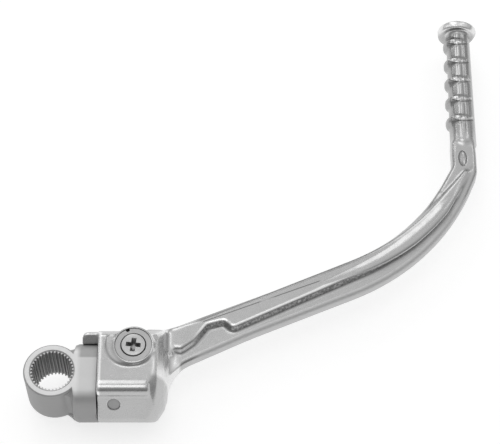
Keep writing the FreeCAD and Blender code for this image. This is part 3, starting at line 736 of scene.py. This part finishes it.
def makeBar(shape):
    # round bar that gives the rib its crown in the bend, thinner at both ends
    points = [point for point in crownPoints(shape["crownLine"]) if point.x > shape["barStart"]]
    radii = shape["barRadii"]
    curve = bpy.data.curves.new("bar", "CURVE")
    curve.dimensions = "3D"
    curve.bevel_depth = 0.001
    curve.bevel_resolution = 12
    curve.use_fill_caps = True
    spline = curve.splines.new("POLY")
    spline.points.add(len(points) - 1)
    for i, point in enumerate(points):
        at = i / (len(points) - 1) * (len(radii) - 1)
        low = min(int(at), len(radii) - 2)
        spline.points[i].co = (*(point / 1000), 1)
        spline.points[i].radius = radii[low] + (radii[low + 1] - radii[low]) * (at - low)
    bar = bpy.data.objects.new("bar", curve)
    bpy.context.scene.collection.objects.link(bar)
    only(bar)
    bpy.ops.object.convert(target="MESH")
    bar = bpy.context.object
    for vertex in bar.data.vertices:
        place = vertex.co * 1000
        near = min(range(len(points)), key=lambda i: (place.xy - points[i].xy).length)
        run = (points[min(near + 1, len(points) - 1)] - points[max(near - 1, 0)]).normalized()
        outward = Vector((run.y, -run.x, 0))
        lean = (place - points[near]).dot(outward) * shape["barLean"]
        place += outward * shape["barShift"]
        place.z = shape["barMiddle"] + place.z * shape["barHeight"] + lean
        vertex.co = place / 1000
    return bar


def smoothWhere(piece, name, share, turns, weightAt):
    # smooths a piece by the weight that each place has
    group = piece.vertex_groups.new(name=name)
    for vertex in piece.data.vertices:
        weight = min(1.0, weightAt(vertex.co * 1000))
        if weight > 0:
            group.add([vertex.index], weight, "REPLACE")
    applyModifier(piece, "SMOOTH", factor=share, iterations=turns, vertex_group=name)


def softenForging(piece, shape):
    points = crownPoints(shape["crownLine"])

    def plainWeight(place):
        return shape["pedalShare"] if place.y > shape["pedalFrom"] else 1.0

    def crownWeight(place):
        # the rib's crown, full in the bend and fading towards the knuckle
        along = (place.x - shape["crownStart"]) / shape["crownRun"]
        if along <= 0:
            return 0.0
        away = min((place.xy - point.xy).length for point in points)
        across = (shape["crownReach"] - away) / shape["crownFade"]
        return min(along, 1.0) * max(0.0, min(1.0, across))

    share = shape["smoothShare"]
    smoothWhere(piece, "plain", share, shape["smoothTurns"], plainWeight)
    smoothWhere(piece, "crown", share, shape["crownTurns"], crownWeight)
    for axis, middle, half, lowest, turns in shape["softSpans"]:

        def spanWeight(place):
            # full at a place along x or y and fading to both sides
            if place.z <= lowest or (axis == "y" and place.x <= shape["footX"]):
                return 0.0
            return 2.0 * (1.0 - abs(getattr(place, axis) - middle) / half)

        smoothWhere(piece, "span" + axis.upper(), share, turns, spanWeight)


def boreRod(shape, axis, span, radius, sides):
    # rod along one of the knuckle's bores, over a span measured along its axis
    turn = math.radians(shape["slopeAngle"])
    axes = {
        "post": ((0, 0, shape["axisZ"]), (1, 0, 0)),
        "pin": ((shape["pinX"], shape["pinY"], 0), (0, 0, 1)),
        "plug": ((shape["plugX"], 0, shape["axisZ"]), (0, math.cos(turn), math.sin(turn))),
    }
    origin, direction = [Vector(part) for part in axes[axis]]
    start, end = [origin + direction * along for along in span]
    return rodBetween(start, end, radius, sides)


def mergedCopy(name, nodeName):
    piece = bpy.data.objects.new(name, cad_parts[nodeName].data.copy())
    bpy.context.scene.collection.objects.link(piece)
    only(piece)
    bpy.ops.object.mode_set(mode="EDIT")
    bpy.ops.mesh.select_all(action="SELECT")
    bpy.ops.mesh.remove_doubles(threshold=0.000002)
    bpy.ops.object.mode_set(mode="OBJECT")
    return piece


def keepInBox(piece):
    for axis in range(3):
        low, high = sorted(corner[axis] for corner in cadBox)
        for vertex in piece.data.vertices:
            vertex.co[axis] = min(max(vertex.co[axis], low), high)


def makeSoftArm(shape):
    piece = mergedCopy("softArm", "kick_arm")
    extras = []
    for axis, filled, cut, radius in shape["bores"]:
        extras.append(boreRod(shape, axis, filled, radius + shape["fillExtra"], 64))
    extras.append(rodBetween(shape["beadStart"], shape["beadEnd"], shape["beadRadius"], 48))
    rim = rodBetween(shape["rimStart"], shape["rimEnd"], shape["rimRadius"])
    applyModifier(rim, "BEVEL", width=shape["rimRound"] / 1000, segments=3, limit_method="ANGLE")
    extras += [rim, makeBar(shape), eggAt(shape["nosePlace"], shape["noseSize"])]
    joinTo(piece, extras)
    applyModifier(piece, "REMESH", mode="VOXEL", voxel_size=shape["voxel"] / 1000, adaptivity=0.0)
    softenForging(piece, shape)
    for axis, filled, cut, radius in shape["bores"]:
        cutWith(piece, boreRod(shape, axis, cut, radius, 96), "MANIFOLD")
    cutWith(piece, eggAt(shape["dimplePlace"], shape["dimpleSize"]), "MANIFOLD")
    keepInBox(piece)
    return finishPiece(piece, shape["smoothAngle"], forgedAluminium)


softArm = makeSoftArm(softArmShape)
softArm.data.calc_loop_triangles()
print("stage: soft arm,", len(softArm.data.loop_triangles), "triangles")
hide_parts("kick_arm")
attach(softArm, "arm")

# countersunk screw of the cover, its head a little proud of it, in millimetres
screwShape = {
    "place": (38.65, 10.8),
    "top": 18.25,
    "headBottom": 16.3,
    "shankBottom": 4.0,
    "shankOverlap": 0.5,
    "shankPlay": 0.02,
    "headRadius": 5.72,
    "shankRadius": 2.9,
    "headRound": 0.25,
    "roundAngle": 50.0,
    "wingLength": 3.7,
    "wingFoot": 1.7,
    "wingWidth": 1.15,
    "wingNarrowing": 0.6,
    "wingDepth": 3.0,
    "wingAbove": 0.2,
    "wingTurn": -6.0,
    "smoothAngle": 35.0,
}


def recessWing(shape, turn):
    # wedge that cuts two opposite wings of the cross recess
    bpy.ops.object.select_all(action="DESELECT")
    bpy.ops.mesh.primitive_cube_add(size=2.0, location=(0, 0, 0))
    wing = bpy.context.object
    for vertex in wing.data.vertices:
        low = vertex.co.z < 0
        vertex.co.x *= (shape["wingFoot"] if low else shape["wingLength"]) / 1000
        vertex.co.y *= shape["wingWidth"] * (shape["wingNarrowing"] if low else 1.0) / 1000
        vertex.co.z = (-shape["wingDepth"] if low else shape["wingAbove"]) / 1000
    wing.location = Vector((*shape["place"], shape["top"])) / 1000
    wing.rotation_euler = (0, 0, math.radians(turn))
    return settle(wing)


def ringTo(piece, centre, height, radius):
    # puts the vertices of one height on a circle round the centre
    for vertex in piece.data.vertices:
        if abs(vertex.co.z * 1000 - height) < 0.01:
            away = (vertex.co.xy * 1000 - centre).normalized() * radius
            vertex.co.x, vertex.co.y = (centre + away) / 1000


def makeScrew(shape):
    centre = Vector(shape["place"])
    neckZ = shape["headBottom"] - (shape["headRadius"] - shape["shankRadius"])
    head = rodBetween((*centre, neckZ), (*centre, shape["top"]), shape["headRadius"], 96)
    head.name = "crossScrew"
    ringTo(head, centre, neckZ, shape["shankRadius"])
    only(head)
    bpy.ops.object.mode_set(mode="EDIT")
    bpy.ops.mesh.select_all(action="SELECT")
    bpy.ops.mesh.bisect(plane_co=(0, 0, shape["headBottom"] / 1000), plane_no=(0, 0, 1))
    bpy.ops.object.mode_set(mode="OBJECT")
    ringTo(head, centre, shape["headBottom"], shape["headRadius"])
    width = shape["headRound"] / 1000
    limit = math.radians(shape["roundAngle"])
    applyModifier(head, "BEVEL", width=width, segments=3, limit_method="ANGLE", angle_limit=limit)
    for turn in (shape["wingTurn"], shape["wingTurn"] + 90):
        cutWith(head, recessWing(shape, turn), "EXACT")
    shankTop = neckZ + shape["shankOverlap"]
    shankRadius = shape["shankRadius"] - shape["shankPlay"]
    joinTo(head, [rodBetween((*centre, shape["shankBottom"]), (*centre, shankTop), shankRadius)])
    return finishPiece(head, shape["smoothAngle"], brightSteel)


crossScrew = makeScrew(screwShape)
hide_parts("cap_screw")
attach(crossScrew, "arm")
print("stage: cross screw")

# floor, world and lamps, in metres
studio = {
    "floorSize": 6.0,
    "floorMiddle": (0.1, 0.1),
    "floorGap": 0.0001,
    "floorShade": grey(0.45),
    "floorGlow": 0.70,
    "worldLight": 0.84,
    "skyLevels": ((0.0, 0.42), (0.25, 0.55), (0.6, 0.8), (0.8, 0.98), (0.9, 0.98), (1.0, 0.92)),
    "frontBand": ((0.20, 0.0), (0.34, 0.58), (0.85, 0.58), (0.97, 0.0)),
    "frontGain": -2.0,
    "middle": (0.12, 0.08, 0.0),
    "knuckle": (-0.06, 0.05, 0.0),
    "lamps": (  # name, place, what it points at, size, brightness of its face
        ("topSoftbox", (-0.06, 0.05, 1.2), "knuckle", (0.4, 0.6), 1.5),
        ("backSoftbox", (-0.20, 1.27, 0.86), "middle", (0.42, 1.05), 1.4),
        ("frontPanel", (0.1, -1.5, 0.22), "middle", (1.4, 0.45), 0.52),
        ("leftStrip", (-0.81, 0.87, 0.67), "middle", (0.1, 0.8), 1.8),
        ("rightStrip", (0.88, 0.87, 1.0), "middle", (0.1, 0.8), 1.6),
    ),
}


def makeFloorMaterial():
    # matt paint that looks white to the camera and keeps the shadow
    material, tree = newMaterial("studioFloor")
    tree.nodes.remove(tree.nodes["Principled BSDF"])
    paint = addNode(tree, "ShaderNodeBsdfDiffuse")
    feed(tree, studio["floorShade"], paint.inputs["Color"])
    glow = addNode(tree, "ShaderNodeEmission")
    rays = addNode(tree, "ShaderNodeLightPath").outputs
    kinds = [rays[label] for label in ("Is Camera Ray", "Is Glossy Ray", "Is Transmission Ray")]
    seen = chain(tree, "MAXIMUM", *kinds)
    feed(tree, product(tree, seen, studio["floorGlow"]), glow.inputs["Strength"])
    both = addNode(tree, "ShaderNodeAddShader")
    feed(tree, paint.outputs[0], both.inputs[0])
    feed(tree, glow.outputs[0], both.inputs[1])
    feed(tree, both.outputs[0], tree.nodes["Material Output"].inputs["Surface"])
    return material


def makeWorld():
    # paler overhead, darker in a band on the camera's side, white to the camera itself
    world = bpy.data.worlds.new("studioWorld")
    world.use_nodes = True
    tree = world.node_tree
    x, y, z = split(tree, "Generated")
    sky = rampNode(tree, z, studio["skyLevels"])
    frontSide = mathNode(tree, "MULTIPLY", y, studio["frontGain"], clamp=True)
    band = product(tree, frontSide, rampNode(tree, z, studio["frontBand"]))
    sky = product(tree, sky, inverse(tree, band))
    seen = addNode(tree, "ShaderNodeLightPath").outputs["Is Camera Ray"]
    backdrop = tree.nodes["Background"]
    feed(tree, mixColour(tree, seen, sky, grey(1.0)), backdrop.inputs["Color"])
    light = studio["worldLight"]
    strength = mathNode(tree, "ADD", product(tree, seen, 1.0 - light), light)
    feed(tree, strength, backdrop.inputs["Strength"])
    return world


def addSoftbox(name, place, target, size, level):
    lamp = bpy.data.lights.new(name, "AREA")
    lamp.shape = "RECTANGLE"
    lamp.size, lamp.size_y = size
    lamp.energy = level * math.pi * size[0] * size[1]
    box = bpy.data.objects.new(name, lamp)
    bpy.context.scene.collection.objects.link(box)
    box.location = place
    box.rotation_euler = (Vector(target) - Vector(place)).to_track_quat("-Z", "Y").to_euler()


lowest = min(corner[2] for corner in cadBox)
floorPlace = (*studio["floorMiddle"], lowest - studio["floorGap"])
bpy.ops.object.select_all(action="DESELECT")
bpy.ops.mesh.primitive_plane_add(size=studio["floorSize"], location=floorPlace)
floor = bpy.context.object
floor.name = "studioFloor"
floor.data.materials.append(makeFloorMaterial())
bpy.context.scene.world = makeWorld()
for name, place, target, size, level in studio["lamps"]:
    addSoftbox(name, place, studio[target], size, level)
print("stage: floor, world and lamps")

# camera, fitted to the photograph's frame of 500 by 444
view = {
    "pitch": 60.0,
    "focalPixels": 1870.0,
    "frameWidth": 500.0,
    "frameHeight": 444.0,
    "mmPerPixel": 0.475,  # at the bore
    "bore": (51.8, 370.3),  # middle of the ring's top face, in pixels
    "boreFace": 12.4,  # height of that face, in millimetres
    "sensor": 36.0,
    "clipStart": 0.05,
}


def addCamera(view):
    pitch = math.radians(view["pitch"])
    ahead = Vector((0, math.cos(pitch), -math.sin(pitch)))
    upward = Vector((0, math.sin(pitch), math.cos(pitch)))
    across = Vector((1, 0, 0))
    right = view["bore"][0] - view["frameWidth"] / 2
    up = view["frameHeight"] / 2 - view["bore"][1]
    reach = view["focalPixels"] * ahead + right * across + up * upward
    data = bpy.data.cameras.new("photoCamera")
    data.sensor_width = view["sensor"]
    data.lens = view["sensor"] * view["focalPixels"] / view["frameWidth"]
    data.clip_start = view["clipStart"]
    camera = bpy.data.objects.new("photoCamera", data)
    camera.location = (Vector((0, 0, view["boreFace"])) - view["mmPerPixel"] * reach) / 1000
    camera.rotation_euler = (math.pi / 2 - pitch, 0, 0)
    bpy.context.scene.collection.objects.link(camera)
    bpy.context.scene.camera = camera


addCamera(view)
bpy.context.scene.view_settings.view_transform = "Standard"
print("stage: camera")
